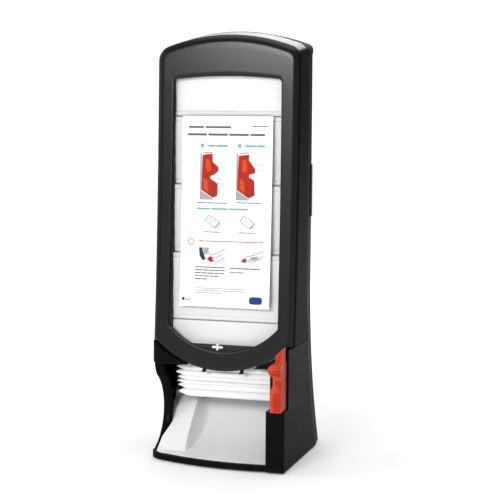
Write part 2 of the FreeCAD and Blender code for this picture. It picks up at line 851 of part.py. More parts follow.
def side_ramp():
    """Raised ridge on the left of the scoop, falling away to the left wall."""
    profiles = []
    for x, corners in (
        (-60.0, [(-66.0, 6.5), (-61.0, 16.0), (-3.0, 75.0), (29.5, 84.0), (29.5, 6.5)]),
        (-103.3, [(-54.0, 6.5), (-46.0, 9.0), (10.0, 27.0), (29.5, 62.0), (29.5, 6.5)]),
    ):
        profile = doc.addObject("Part::Feature", "ramp_profile")
        points = [Vector(x, y, z) for y, z in corners]
        profile.Shape = Part.makePolygon(points + points[:1])
        profiles.append(profile)
    loft = doc.addObject("Part::Loft", "side_ramp")
    loft.Sections = profiles
    loft.Solid = True
    loft.Ruled = True
    return loft


tray_liner = fuse("tray_liner", [common("scoop_sheet", [scoop, scoop_limit]), side_ramp()])

# ---------------------------------------------------------------- finger guide

guide_side = prism("guide_side", "YZ_Plane", [
    (-93.2, P["column_top"] + 0.1),
    (-93.2, 157.5),
    (-97.5, 160.0),
    (-97.5, 179.0),
    (-112.0, 179.0, 1.5),
    (-113.5, 177.5),
    (-113.5, 159.5),
    (-119.0, 156.5, 8.5),
    (P["guide_front"], 148.5, 8.5),
    (-119.5, 140.5),
    (-117.0, 138.0),
    (-117.0, 127.5),
    (-121.5, 118.5),
    (-121.5, P["column_top"] + 1.6, 1.5),
    (-120.0, P["column_top"] + 0.1),
], 80, 104)
guide_front_view = prism("guide_front_view", "XZ_Plane", [
    (88.0, 80),
    (104.5, 80),
    (104.5, 179.0),
    (94.0, 169.0),
    (94.0, 158.5),
    (90.0, 156.6, 7.0),
    (85.5, 149.0, 8.0),
    (87.5, 142.5),
    (91.0, 138.0),
    (91.0, 127.0),
    (88.0, 119.0),
], -130, -85)
guide_pilots = [rod("guide_pilot", "y", (98.5, -106, level), 1.5, 13)
                for level in (104.0, 148.0)]
finger_guide = cut("finger_guide", common("guide_form", [guide_side, guide_front_view]),
                   group("guide_pilots", guide_pilots))
guide_screws = group("guide_screws", [
    screw("guide_screw", "y", (98.5, -105.0, level), (1.5, 15), (3.0, 1.9), flip=True)
    for level in (104.0, 148.0)
])

# ---------------------------------------------------------------- napkin magazine

napkin_shelf = fuse("napkin_shelf", [
    box("shelf_back", (-101.4, 101.4), (6, 44), (P["shelf_level"] - 2, P["shelf_level"])),
    box("shelf_tongue", (-79.5, 79.5), (-18, 7), (P["shelf_level"] - 2, P["shelf_level"])),
])


def side_guide(name, low, high):
    """Thin upright sheet beside the napkin column."""
    return prism(name, "YZ_Plane", [
        (43.5, P["shelf_level"] + 0.05),
        (52.3, 257),
        (52.3, 590),
        (face_line(590, 13), 590, -P["face_radius"]),
        (face_line(176, 13), 176),
        (-30.0, 150),
        (-18.0, P["shelf_level"] + 0.05),
    ], low, high)


side_guide_right = side_guide("side_guide_right", 84.4, 85.9)
side_guide_left = side_guide("side_guide_left", -85.9, -84.4)
back_guide = prism("back_guide", "YZ_Plane", [
    (30.6, 92.0),
    (31.8, 92.0),
    (52.3, 550.0),
    (51.1, 550.0),
], -45, 45)

pack_levels = [600.0, 502.0, 403.0, 303.0, 204.0]
half_napkin = P["napkin_length"] / 2
packs = []
for number, top in enumerate(pack_levels[:-1], 1):
    front = face_line(top, 12)
    bottom = pack_levels[number]
    packs.append(box("napkin_pack_%d" % number, (-half_napkin, half_napkin),
                     (front, front + P["napkin_depth"]), (bottom + 0.6, top - 0.6)))

# The lowest pack is loosened: folded bundles of uneven height, stepped at their ends.
bundle_tops = [101.0, 109.0, 114.0, 120.5, 128.5, 136.5, 147.0, 203.4]
bundle_ends = [(-72.5, 77.0), (-74.0, 77.5), (-75.5, 78.0), (-75.0, 78.0),
               (-78.0, 78.6), (-77.0, 79.0), (-80.5, 79.2), (-82.5, 82.5)]
bundle_fronts = [-50.0, -52.0, -51.0, -53.5, -54.5, -53.0, -55.0, -55.7]
bundles = []
bottom = 90.6
for top, (left, right), front in zip(bundle_tops, bundle_ends, bundle_fronts):
    bundles.append(box("bundle", (left, right), (front, 26.3), (bottom, top - 0.25)))
    bottom = top
packs.append(group("napkin_pack_5", bundles))

# ---------------------------------------------------------------- finish

nodes = [
    rear_housing, base_shell, base_plate, base_screws, rubber_feet, tray_liner,
    finger_guide, guide_screws, napkin_shelf, side_guide_left, side_guide_right,
    back_guide, hinge_pins[0], hinge_pins[1], latch_bracket, latch_springs, latch_bar,
    front_cover, window_pane, window_frame, instruction_card, inner_panel, card_clip,
    retaining_fingers, hinge_arm_left, hinge_arm_right, arm_screws, cover_strike,
    strike_screws,
] + packs
for node in nodes:
    node.Label = node.Name
    bind(node, "Placement.Base.y", own_depth.get(node.Name, 0) + P["datum_y"])
doc.recompute()

for obj in doc.Objects:
    if "Invalid" in obj.State or "Error" in obj.State:
        raise RuntimeError("%s did not compute" % obj.Name)
for node in nodes:
    if node.Shape.isNull() or not node.Shape.isValid():
        raise RuntimeError("%s has no valid shape" % node.Label)

os.makedirs("parts", exist_ok=True)
for node in nodes:
    node.Shape.exportStep("parts/%s.step" % node.Label)
    limits = node.Shape.BoundBox
    print("%-20s solids %2d  X %7.1f %7.1f  Y %7.1f %7.1f  Z %6.1f %6.1f" % (
        node.Label, len(node.Shape.Solids), limits.XMin, limits.XMax,
        limits.YMin, limits.YMax, limits.ZMin, limits.ZMax))
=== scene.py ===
import math
import random

import bmesh
import bpy
from mathutils import Matrix, Vector


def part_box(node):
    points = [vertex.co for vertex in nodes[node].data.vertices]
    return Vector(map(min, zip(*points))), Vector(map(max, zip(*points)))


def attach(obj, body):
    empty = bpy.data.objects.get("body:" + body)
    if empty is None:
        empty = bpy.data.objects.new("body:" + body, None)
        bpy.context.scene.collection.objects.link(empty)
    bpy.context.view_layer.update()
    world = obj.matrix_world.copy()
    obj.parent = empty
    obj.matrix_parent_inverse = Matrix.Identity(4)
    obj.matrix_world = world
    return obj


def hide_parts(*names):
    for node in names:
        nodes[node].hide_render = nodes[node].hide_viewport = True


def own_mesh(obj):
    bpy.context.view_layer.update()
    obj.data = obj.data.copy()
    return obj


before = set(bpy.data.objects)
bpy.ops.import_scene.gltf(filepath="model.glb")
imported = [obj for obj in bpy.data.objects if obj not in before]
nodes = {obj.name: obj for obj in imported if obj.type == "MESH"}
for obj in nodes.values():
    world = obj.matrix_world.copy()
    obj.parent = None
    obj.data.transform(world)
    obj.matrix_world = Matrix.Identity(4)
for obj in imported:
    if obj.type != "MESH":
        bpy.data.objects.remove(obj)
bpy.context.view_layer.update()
scene = bpy.context.scene
dice = random.Random(26)

MM = 0.001
DATUM = 6.22          # shift from the drawing's depth to the row frame, mm
HALF = 107.5          # half width of the cover and housing
WALL = 3.0
RIM = 10.5            # rounded rim of the cover
SEAM = 5.0            # rear edge of the cover, drawing depth
FACE_R = 6209.0
ARCH_R = 272.0
SHOULDER = 22.0
FOOT = 174.2          # lower edge of the cover sides
MOUTH_R = 150.0
MOUTH_LOW = 134.5


# ---------------------------------------------------------------- materials

def new_material(name):
    material = bpy.data.materials.new(name)
    material.use_nodes = True
    tree = material.node_tree
    return material, tree, tree.nodes["Principled BSDF"]


def node(tree, kind, **values):
    made = tree.nodes.new("ShaderNode" + kind)
    for key, value in values.items():
        if key in made.inputs:
            made.inputs[key].default_value = value
        else:
            setattr(made, key, value)
    return made


def surface(name, colour, rough, spec=0.5, blotch=0.12, blotch_scale=9.0, rough_spread=0.06,
            grain=1500.0, depth=0.08, wear=None, worn=0.0, metallic=0.0, coat=0.0,
            coat_rough=0.3, sheen=0.0, stretch=(1, 1, 1), through=0.0):
    """Moulded, painted or rolled finish: uneven colour, roughness, grain and worn edges."""
    material, tree, shader = new_material(name)
    link = tree.links.new
    place = node(tree, "TexCoord")
    scale = node(tree, "Mapping")
    scale.inputs["Scale"].default_value = stretch
    link(place.outputs["Object"], scale.inputs["Vector"])

    patches = node(tree, "TexNoise", Scale=blotch_scale, Detail=4.0, Roughness=0.55)
    link(scale.outputs["Vector"], patches.inputs["Vector"])
    tint = node(tree, "MixRGB")
    tint.inputs["Color1"].default_value = [c * (1 - blotch) for c in colour[:3]] + [1]
    tint.inputs["Color2"].default_value = [min(1, c * (1 + blotch)) for c in colour[:3]] + [1]
    link(patches.outputs["Fac"], tint.inputs["Fac"])
    colour_out = tint.outputs["Color"]

    smears = node(tree, "TexNoise", Scale=blotch_scale * 4, Detail=5.0)
    link(scale.outputs["Vector"], smears.inputs["Vector"])
    spread = node(tree, "MapRange")
    spread.inputs["To Min"].default_value = max(0.02, rough - rough_spread)
    spread.inputs["To Max"].default_value = min(1, rough + rough_spread)
    link(smears.outputs["Fac"], spread.inputs["Value"])
    link(spread.outputs["Result"], shader.inputs["Roughness"])

    if wear is not None:
        shape = node(tree, "NewGeometry")
        edges = node(tree, "MapRange")
        edges.inputs["From Min"].default_value = 0.53
        edges.inputs["From Max"].default_value = 0.62
        link(shape.outputs["Pointiness"], edges.inputs["Value"])
        broken = node(tree, "Math", operation="MULTIPLY")
        link(edges.outputs["Result"], broken.inputs[0])
        link(smears.outputs["Fac"], broken.inputs[1])
        amount = node(tree, "Math", operation="MULTIPLY")
        amount.inputs[1].default_value = worn
        link(broken.outputs[0], amount.inputs[0])
        edge_mix = node(tree, "MixRGB")
        edge_mix.inputs["Color2"].default_value = [*wear, 1]
        link(amount.outputs[0], edge_mix.inputs["Fac"])
        link(colour_out, edge_mix.inputs["Color1"])
        colour_out = edge_mix.outputs["Color"]
    link(colour_out, shader.inputs["Base Color"])

    fine = node(tree, "TexNoise", Scale=grain, Detail=2.0)
    link(scale.outputs["Vector"], fine.inputs["Vector"])
    bump = node(tree, "Bump", Strength=depth, Distance=0.0004)
    link(fine.outputs["Fac"], bump.inputs["Height"])
    link(bump.outputs["Normal"], shader.inputs["Normal"])

    shader.inputs["Specular IOR Level"].default_value = spec
    shader.inputs["Metallic"].default_value = metallic
    shader.inputs["Coat Weight"].default_value = coat
    shader.inputs["Coat Roughness"].default_value = coat_rough
    if coat:
        link(bump.outputs["Normal"], shader.inputs["Coat Normal"])
    shader.inputs["Sheen Weight"].default_value = sheen
    if through:
        shader.inputs["Subsurface Weight"].default_value = through
        shader.inputs["Subsurface Radius"].default_value = (0.004, 0.004, 0.004)
    return material


def clear_sheet(name, colour, rough, low, high):
    """Clear, slightly milky plastic whose grey colour shows more at a glancing angle, a painted
    reflection.
    """
    material, tree, shader = new_material(name)
    link = tree.links.new
    glancing_painted_reflection = node(tree, "LayerWeight", Blend=0.15)
    place = node(tree, "TexCoord")
    haze = node(tree, "TexNoise", Scale=14.0, Detail=3.0)
    link(place.outputs["Object"], haze.inputs["Vector"])
    mixed = node(tree, "Math", operation="MULTIPLY_ADD")
    mixed.inputs[1].default_value = 0.008
    link(haze.outputs["Fac"], mixed.inputs[0])
    # Alpha, and with it the grey colour and the gloss, grows from low to high toward a glancing
    # angle: a painted reflection on top of the pane's real gloss.
    span = node(tree, "MapRange")
    span.inputs["To Min"].default_value = low
    span.inputs["To Max"].default_value = high
    link(glancing_painted_reflection.outputs["Facing"], span.inputs["Value"])
    link(span.outputs["Result"], mixed.inputs[2])
    link(mixed.outputs[0], shader.inputs["Alpha"])
    tint = node(tree, "MixRGB")
    tint.inputs["Color1"].default_value = [*colour, 1]
    tint.inputs["Color2"].default_value = [*[c * 0.96 for c in colour], 1]
    link(haze.outputs["Fac"], tint.inputs["Fac"])
    link(tint.outputs["Color"], shader.inputs["Base Color"])
    spread = node(tree, "MapRange")
    spread.inputs["To Min"].default_value = rough
    spread.inputs["To Max"].default_value = rough + 0.05
    link(haze.outputs["Fac"], spread.inputs["Value"])
    link(spread.outputs["Result"], shader.inputs["Roughness"])
    shader.inputs["Specular IOR Level"].default_value = 0.5
    return material


BLACK = (0.0048, 0.0048, 0.0052)
WORN_BLACK = (0.03, 0.03, 0.031)
finish = {
    "housing_plastic": surface("housing_black", BLACK, 0.42, spec=0.005, coat=0.03,
                               coat_rough=0.36, wear=WORN_BLACK, worn=0.7, grain=2200,
                               depth=0.10),
    "base_plastic": surface("base_black", BLACK, 0.36, spec=0.005, coat=0.035,
                            coat_rough=0.24, wear=WORN_BLACK, worn=0.7, grain=2200,
                            depth=0.06),
    # The cover's sides: the cover's black with a far weaker coat, a shaded copy that paints the
    # sides darker than the face.
    "cover_side": surface("cover_side_shaded_black", BLACK, 0.40, spec=0.005, coat=0.03,
                          coat_rough=0.30, wear=WORN_BLACK, worn=0.5, grain=2600, depth=0.03),
    "cover_plastic": surface("cover_black", BLACK, 0.34, spec=0.005, coat=0.5,
                             coat_rough=0.24, wear=WORN_BLACK, worn=0.5, grain=2600,
                             depth=0.03),
    "inner_plastic": surface("inner_black", (0.012, 0.012, 0.0125), 0.5, spec=0.08,
                             wear=(0.03, 0.03, 0.03), worn=0.5, grain=1800),
    "latch_plastic": surface("latch_black", (0.010, 0.010, 0.0105), 0.5, spec=0.1,
                             wear=WORN_BLACK, worn=0.9, grain=3000, depth=0.25),
    "tray_plastic": surface("tray_white", (0.93, 0.94, 0.95), 0.34, blotch=0.02, spec=0.45,
                            wear=(0.9, 0.9, 0.9), worn=0.3, grain=1800, depth=0.04,
                            through=0.08),
    "guide_plastic": surface("guide_orange_red", (0.44, 0.026, 0.006), 0.40, blotch=0.06,
                             wear=(0.85, 0.2, 0.12), worn=0.5, grain=1800, depth=0.05,
                             spec=0.06, coat=0.06),
    "clip_plastic": surface("clip_white", (0.85, 0.85, 0.85), 0.4, blotch=0.03, depth=0.05),
    "window_glass": clear_sheet("clear_window", (0.45, 0.47, 0.47), 0.05, 0.004, 0.30),
    "card_stock": surface("card_white", (0.93, 0.935, 0.94), 0.42, blotch=0.015,
                          blotch_scale=30, grain=900, depth=0.04, coat=0.1),
    "napkin_paper": surface("napkin_white", (0.955, 0.95, 0.94), 0.9, blotch=0.02, spec=0.1,
                            blotch_scale=40, grain=700, depth=0.45, through=0.12,
                            sheen=0.1),
    "arm_steel": surface("arm_plated", (0.6, 0.6, 0.6), 0.32, metallic=1.0, blotch=0.06,
                         stretch=(1, 20, 1), grain=900, depth=0.10),
    "screw_steel": surface("screw_plated", (0.62, 0.62, 0.63), 0.28, metallic=1.0,
                           blotch=0.06, grain=1200, depth=0.06),
    "foot_rubber": surface("foot_black", (0.018, 0.018, 0.018), 0.8, spec=0.3, grain=1600,
                           depth=0.3),
}


def ink(name, colour):
    """Printing ink: dull and slightly uneven."""
    return surface(name, colour, 0.6, spec=0.08, blotch=0.08, blotch_scale=120, grain=900,
                   depth=0.05)


# ---------------------------------------------------------------- mesh helpers

def baked(obj, sharp=35.0):
    """Applies the modifiers and keeps smooth shading except over sharp edges."""
    graph = bpy.context.evaluated_depsgraph_get()
    mesh = bpy.data.meshes.new_from_object(obj.evaluated_get(graph))
    obj.modifiers.clear()
    obj.data = mesh
    for face in mesh.polygons:
        face.use_smooth = True
    mesh.set_sharp_from_angle(angle=math.radians(sharp))
    return obj


def piece(name, verts, faces, slot, body="housing", replaces=(), material=None, thick=None,
          bevel=None, smooth_levels=0, sharp=35.0, offset=-1.0):
    """A mesh piece from points in drawing millimetres."""
    mesh = bpy.data.meshes.new(name)
    mesh.from_pydata([(x * MM, (y + DATUM) * MM, z * MM) for x, y, z in verts], [], faces)
    mesh.validate()
    mesh.update()
    obj = bpy.data.objects.new(name, mesh)
    scene.collection.objects.link(obj)
    mesh.materials.append(material or finish[slot])
    if thick:
        shell = obj.modifiers.new("wall", "SOLIDIFY")
        shell.thickness = thick * MM
        shell.offset = offset
        shell.use_even_offset = True
    if bevel:
        edge = obj.modifiers.new("edge", "BEVEL")
        edge.width = bevel * MM
        edge.segments = 3
        edge.limit_method = "ANGLE"
        edge.angle_limit = math.radians(32)
    if smooth_levels:
        rounder = obj.modifiers.new("rounder", "SUBSURF")
        rounder.levels = rounder.render_levels = smooth_levels
    bpy.context.view_layer.update()
    baked(obj, sharp)
    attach(obj, body)
    if replaces:
        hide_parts(*replaces)
    return obj


CELL = 15             # size of those cells, mm
UPRIGHT = 0.002       # a face whose normal has less Z than this is upright
FLAT_AREA = 2e-5      # upright faces larger than this are shaded flat, m2


def rounded(node_name, new_name, slot, body, width):
    """A copy of a CAD node with welded faces and softened edges."""
    source = nodes[node_name].data
    mesh = bpy.data.meshes.new(new_name)
    mesh.from_pydata([v.co[:] for v in source.vertices], [],
                     [tuple(f.vertices) for f in source.polygons])
    work = bmesh.new()
    work.from_mesh(mesh)
    bmesh.ops.remove_doubles(work, verts=work.verts, dist=2e-6)
    bmesh.ops.dissolve_limit(work, angle_limit=math.radians(0.25), verts=work.verts,
                             edges=work.edges)
    # Edge wear is worked out at vertices, so large flat faces are cut into cells first.
    for axis, low, high in (((1, 0, 0), -100, 100), ((0, 0, 1), 10, 620)):
        for level in range(low, high, CELL):
            bmesh.ops.bisect_plane(work, geom=work.verts[:] + work.edges[:] + work.faces[:],
                                   plane_co=[level * MM * c for c in axis], plane_no=axis,
                                   dist=1e-6)
    work.to_mesh(mesh)
    work.free()
    obj = bpy.data.objects.new(new_name, mesh)
    scene.collection.objects.link(obj)
    mesh.materials.append(finish[slot])
    edge = obj.modifiers.new("edge", "BEVEL")
    edge.width = width * MM
    edge.segments = 3
    edge.limit_method = "ANGLE"
    edge.angle_limit = math.radians(30)
    edge.use_clamp_overlap = True
    bpy.context.view_layer.update()
    baked(obj, 34.0)
    for face in obj.data.polygons:
        if abs(face.normal.z) < UPRIGHT and face.area > FLAT_AREA:
            face.use_smooth = False
    even = obj.modifiers.new("even", "WEIGHTED_NORMAL")
    even.keep_sharp = True
    even.weight = 100
    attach(obj, body)
    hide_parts(node_name)
    return obj


def strip(rows, close=False):
    """Quads between equal rows of points."""
    verts = [p for row in rows for p in row]
    count = len(rows[0])
    last = count if close else count - 1
    faces = []
    for r in range(len(rows) - 1):
        for i in range(last):
            j = (i + 1) % count
            faces.append((r * count + i, r * count + j, (r + 1) * count + j, (r + 1) * count + i))
    return verts, faces


def face_y(z, inset=0.0):
    """Depth of the cover face at a height."""
    return -47.79 - FACE_R + math.sqrt(FACE_R ** 2 - (z - 700.0) ** 2) + inset


def cover_y(z):
    """Depth of the outside of the cover, which rolls back a little near its top."""
    return face_y(z) + 0.0002 * max(0.0, z - 540.0) ** 2


# ---------------------------------------------------------------- front cover

def span(a, b, count, last=False):
    steps = count + 1 if last else count
    return [(a[0] + (b[0] - a[0]) * i / count, a[1] + (b[1] - a[1]) * i / count)
            for i in range(steps)]


def sweep(centre, radius, start, end, count, last=False):
    steps = count + 1 if last else count
    return [(centre[0] + radius * math.cos(start + (end - start) * i / count),
             centre[1] + radius * math.sin(start + (end - start) * i / count))
            for i in range(steps)]


SIDE_STEPS, CORNER_STEPS, TOP_STEPS, LOW_STEPS = 60, 12, 44, 56
SKIRT_STEPS, RIM_STEPS, FACE_STEPS = 10, 8, 6
APEX, APEX_SLOPE, APEX_Y = 613.0, 0.14, 85.0     # top of the arch rises toward the back
WINDOW_FOOT_R, WINDOW_FOOT_HALF, WINDOW_FOOT_LOW = 112.0, 83.5, 161.5
WINDOW_TOP_R, WINDOW_TOP_HALF, WINDOW_TOP = 740.0, 75.5, 559.7
WINDOW_CORNER = 6.0


def cut_level(x):
    """Lower edge of the cover at a distance from the middle."""
    inside = MOUTH_R ** 2 - x * x
    if inside <= 0:
        return FOOT
    return min(FOOT, MOUTH_LOW + MOUTH_R - math.sqrt(inside))


def arch_loop(inset, y):
    """Side, shoulder, arch, shoulder and side of the cover at an inset and depth."""
    apex = APEX + APEX_SLOPE * (y + APEX_Y)
    centre = apex - ARCH_R
    reach = ARCH_R - SHOULDER
    across = HALF - SHOULDER
    up = math.sqrt(reach ** 2 - across ** 2)
    side = HALF - inset
    turn = math.atan2(up, across)
    low = cut_level(side)
    return (span((-side, low), (-side, centre + up), SIDE_STEPS)
            + sweep((-across, centre + up), SHOULDER - inset, math.pi, math.pi - turn,
                    CORNER_STEPS)
            + sweep((0, centre), ARCH_R - inset, math.pi - turn, turn, TOP_STEPS)
            + sweep((across, centre + up), SHOULDER - inset, turn, 0, CORNER_STEPS)
            + span((side, centre + up), (side, low), SIDE_STEPS, last=True))


def window_loop():
    """The window opening, in the same order as the cover's outline."""
    low_centre = WINDOW_FOOT_LOW + WINDOW_FOOT_R
    low_z = low_centre - math.sqrt(WINDOW_FOOT_R ** 2 - WINDOW_FOOT_HALF ** 2)
    top_centre = WINDOW_TOP - WINDOW_TOP_R
    level = top_centre + math.sqrt(WINDOW_TOP_R ** 2 - WINDOW_TOP_HALF ** 2)
    tilt = math.atan2(level - top_centre, WINDOW_TOP_HALF)
    dip = math.atan2(low_z - low_centre, WINDOW_FOOT_HALF)
    corner_z = level - WINDOW_CORNER
    side = WINDOW_TOP_HALF + WINDOW_CORNER
    return (span((-WINDOW_FOOT_HALF, low_z), (-side, corner_z), SIDE_STEPS)
            + sweep((-WINDOW_TOP_HALF, corner_z), WINDOW_CORNER, math.pi, math.pi / 2,
                    CORNER_STEPS)
            + sweep((0, top_centre), WINDOW_TOP_R, math.pi - tilt, tilt, TOP_STEPS)
            + sweep((WINDOW_TOP_HALF, corner_z), WINDOW_CORNER, math.pi / 2, 0, CORNER_STEPS)
            + span((side, corner_z), (WINDOW_FOOT_HALF, low_z), SIDE_STEPS)
            + sweep((0, low_centre), WINDOW_FOOT_R, dip, -math.pi - dip, LOW_STEPS))


def cover_mesh():
    """Side skirt, rounded rim and crowned face, as one open sheet."""
    rows = []
    for step in range(SKIRT_STEPS):
        share = step / SKIRT_STEPS
        row = []
        for i, (x, z) in enumerate(arch_loop(0, SEAM)):
            rear = SEAM - (2.4 * max(0.0, z - 596) / 36)
            front = cover_y(z) + RIM
            y = rear + (front - rear) * share
            x, z = arch_loop(0, y)[i]
            row.append((x, y, z))
        rows.append(row)
    for step in range(RIM_STEPS + 1):
        angle = math.pi / 2 * step / RIM_STEPS
        inset = RIM * (1 - math.cos(angle))
        behind = RIM * (1 - math.sin(angle))
        row = []
        for i, (x, z) in enumerate(arch_loop(inset, -50)):
            x, z = arch_loop(inset, cover_y(z) + behind)[i]
            row.append((x, cover_y(z) + behind, z))
        rows.append(row)
    verts, faces = strip(rows)
    open_count = len(rows[0])
    first = len(verts) - open_count
    rim = verts[first:]
    right, left = rim[-1], rim[0]
    bottom = []
    for i in range(1, LOW_STEPS):
        x = right[0] + (left[0] - right[0]) * i / LOW_STEPS
        z = cut_level(x)
        bottom.append((x, cover_y(z), z))
    outer = [first + i for i in range(open_count)]
    outer += [len(verts) + i for i in range(len(bottom))]
    verts += bottom
    loop = [verts[i] for i in outer]
    inner = window_loop()
    before = outer
    for ring in range(1, FACE_STEPS + 1):
        share = ring / FACE_STEPS
        here = []
        for (x, _, z), (wx, wz) in zip(loop, inner):
            px, pz = x + (wx - x) * share, z + (wz - z) * share
            here.append(len(verts))
            verts.append((px, cover_y(pz), pz))
        count = len(loop)
        for i in range(count):
            j = (i + 1) % count
            faces.append((before[i], before[j], here[j], here[i]))
        before = here
    return verts, faces


def blocks(boxes):
    """Plain blocks as one list of points and faces; the bevel rounds them."""
    verts, faces = [], []
    for (x0, x1), (y0, y1), (z0, z1) in boxes:
        n = len(verts)
        verts += [(x, y, z) for x in (x0, x1) for y in (y0, y1) for z in (z0, z1)]
        faces += [tuple(n + i for i in f) for f in
                  ((0, 1, 3, 2), (4, 6, 7, 5), (0, 4, 5, 1), (2, 3, 7, 6), (0, 2, 6, 4),
                   (1, 5, 7, 3))]
    return verts, faces


verts, faces = cover_mesh()
cover = piece("cover_shell", verts, faces, "cover_plastic", "cover", ["front_cover"],
              thick=WALL, bevel=0.45, sharp=40, offset=1.0)
# Faces turned toward +X take the weak-coated copy: painted shade on the cover's side.
cover.data.materials.append(finish["cover_side"])
for face in cover.data.polygons:
    if face.normal.x > 0.8:
        face.material_index = 1
verts, faces = blocks([
    ((93.05, 104.9), (-28, -6), (547, 565)), ((-104.9, -93.05), (-28, -6), (547, 565)),
    ((91.55, 104.9), (-28, -6), (383, 403))])
piece("cover_pads", verts, faces, "cover_plastic", "cover", bevel=0.5)

# ---------------------------------------------------------------- scoop tray

TRAY_LEFT, TRAY_RIGHT, RIDGE = -103.3, 79.6, -60.0
SCOOP_R, SCOOP_Y, SCOOP_Z = 104.0, -75.0, 112.0


def arc_front(x, start, end, radius):
    """Front edge of the tray on an arc that bulges forward."""
    (ax, ay), (bx, by) = start, end
    chord = math.hypot(bx - ax, by - ay)
    lift = math.sqrt(radius ** 2 - chord ** 2 / 4)
    cx = (ax + bx) / 2 - (by - ay) / chord * lift
    cy = (ay + by) / 2 + (bx - ax) / chord * lift
    return cy - math.sqrt(max(0.0, radius ** 2 - (x - cx) ** 2))


def tray_front(x):
    if x < -78.0:
        return arc_front(x, (TRAY_LEFT, -60.5), (-78.0, -85.7), 27.0)
    return arc_front(x, (-78.0, -85.7), (TRAY_RIGHT, -103.7), 321.0)


def ridge_level(y):
    """Top of the ramp's ridge at a depth."""
    if y < -62.0:
        return 8.0
    if y < -3.0:
        return 8.0 + 67.0 * ((y + 62.0) / 59.0) ** 0.86
    rise = min(1.0, (y + 3.0) / 32.5)
    return 75.0 + 9.0 * (1 - (1 - rise) ** 2)


def tray_level(x, y, scoop_z):
    ridge = ridge_level(y)
    if x <= RIDGE:
        left = 8.0 + (ridge - 8.0) * (0.40 + 0.48 * min(1.0, max(0.0, (y + 62.0) / 85.0)))
        share = (x - TRAY_LEFT) / (RIDGE - TRAY_LEFT)
        return max(scoop_z, left + (ridge - left) * share ** 0.9)
    wide = 3.0 + 19.0 * min(1.0, max(0.0, (y + 62.0) / 85.0))
    out = (x - RIDGE) / wide
    if out >= 1 or ridge <= scoop_z:
        return scoop_z
    return scoop_z + (ridge - scoop_z) * (1 - out) ** 1.8


columns = [TRAY_LEFT + (RIDGE - TRAY_LEFT) * i / 16 for i in range(16)]
columns += [RIDGE + 22.5 * i / 18 for i in range(18)]
columns += [-37.5 + (TRAY_RIGHT + 37.5) * i / 24 for i in range(25)]
tray_rows = [[] for _ in range(73)]
arc_end = math.acos((SCOOP_Z - 85.8) / SCOOP_R)
for x in columns:
    y0 = tray_front(x)
    if y0 < SCOOP_Y:
        s0 = y0 - SCOOP_Y
    else:
        s0 = SCOOP_R * math.asin((y0 - SCOOP_Y) / SCOOP_R)
    for r, row in enumerate(tray_rows):
        s = s0 + (SCOOP_R * arc_end - s0) * r / 72
        if s < 0:
            y, z = SCOOP_Y + s, SCOOP_Z - SCOOP_R
        else:
            y = SCOOP_Y + SCOOP_R * math.sin(s / SCOOP_R)
            z = SCOOP_Z - SCOOP_R * math.cos(s / SCOOP_R)
        row.append((x, y, tray_level(x, y, z)))
verts, faces = strip(tray_rows)
piece("tray_scoop", verts, faces, "tray_plastic", "housing", ["tray_liner"], thick=2.3,
      bevel=0.5, sharp=42)

# ---------------------------------------------------------------- softened CAD shapes

rounded("base_shell", "base_body", "base_plastic", "housing", 0.9)
rounded("rear_housing", "housing_body", "housing_plastic", "housing", 0.5)
rounded("finger_guide", "guide_body", "guide_plastic", "housing", 0.9)
rounded("latch_bar", "latch_button", "latch_plastic", "latch", 0.5)

# ---------------------------------------------------------------- springs behind the latch bar

COIL_START, COIL_END, COIL_R, WIRE_R = 88.72, 94.55, 2.4, 0.33
COIL_Y, COIL_LEVELS, COIL_TURNS = 38.0, (364.0, 422.0), 4
TURN_STEPS, WIRE_SIDES = 20, 8
verts, faces = [], []
for level in COIL_LEVELS:
    rows = []
    for k in range(COIL_TURNS * TURN_STEPS + 1):
        turn = 2 * math.pi * k / TURN_STEPS
        x = COIL_START + (COIL_END - COIL_START) * k / (COIL_TURNS * TURN_STEPS)
        rows.append([(x + WIRE_R * math.sin(a),
                      COIL_Y + (COIL_R + WIRE_R * math.cos(a)) * math.cos(turn),
                      level + (COIL_R + WIRE_R * math.cos(a)) * math.sin(turn))
                     for a in (2 * math.pi * i / WIRE_SIDES for i in range(WIRE_SIDES))])
    points, quads = strip(rows, close=True)
    n = len(verts)
    verts += points
    faces += [tuple(n + i for i in quad) for quad in quads]
    faces.append(tuple(n + i for i in range(WIRE_SIDES)))
    faces.append(tuple(n + len(points) - 1 - i for i in range(WIRE_SIDES)))
springs = piece("spring_coils", verts, faces, "screw_steel", "housing", ["latch_springs"],
                sharp=60)
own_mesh(springs)

# ---------------------------------------------------------------- rolled edge of the left wall

EDGE_X = -107.1                                # outside of the band
ARC_Y, ARC_Z, ARC_R, ARC_TURN = -59.5, 141.9, 32.0, 0.87   # upper, bulging arc
MEET_Y, MEET_Z = -46.0, 115.8                  # where the two arcs meet
HOLLOW_Y, HOLLOW_Z, HOLLOW_R = -80.6, 67.0, 59.8           # lower, hollow arc
TOE_Y, TOE_Z = -57.0, 12.0                     # foot of the lower arc
ARC_STEPS, HOLLOW_STEPS = 8, 30
EDGE_PROFILE = ((0.0, -3.0), (0.0, -0.7), (0.05, 0.0), (0.4, 0.5), (0.72, 0.0),
                (0.92, -1.7), (1.0, -4.4), (0.93, -6.0), (0.6, -5.0))

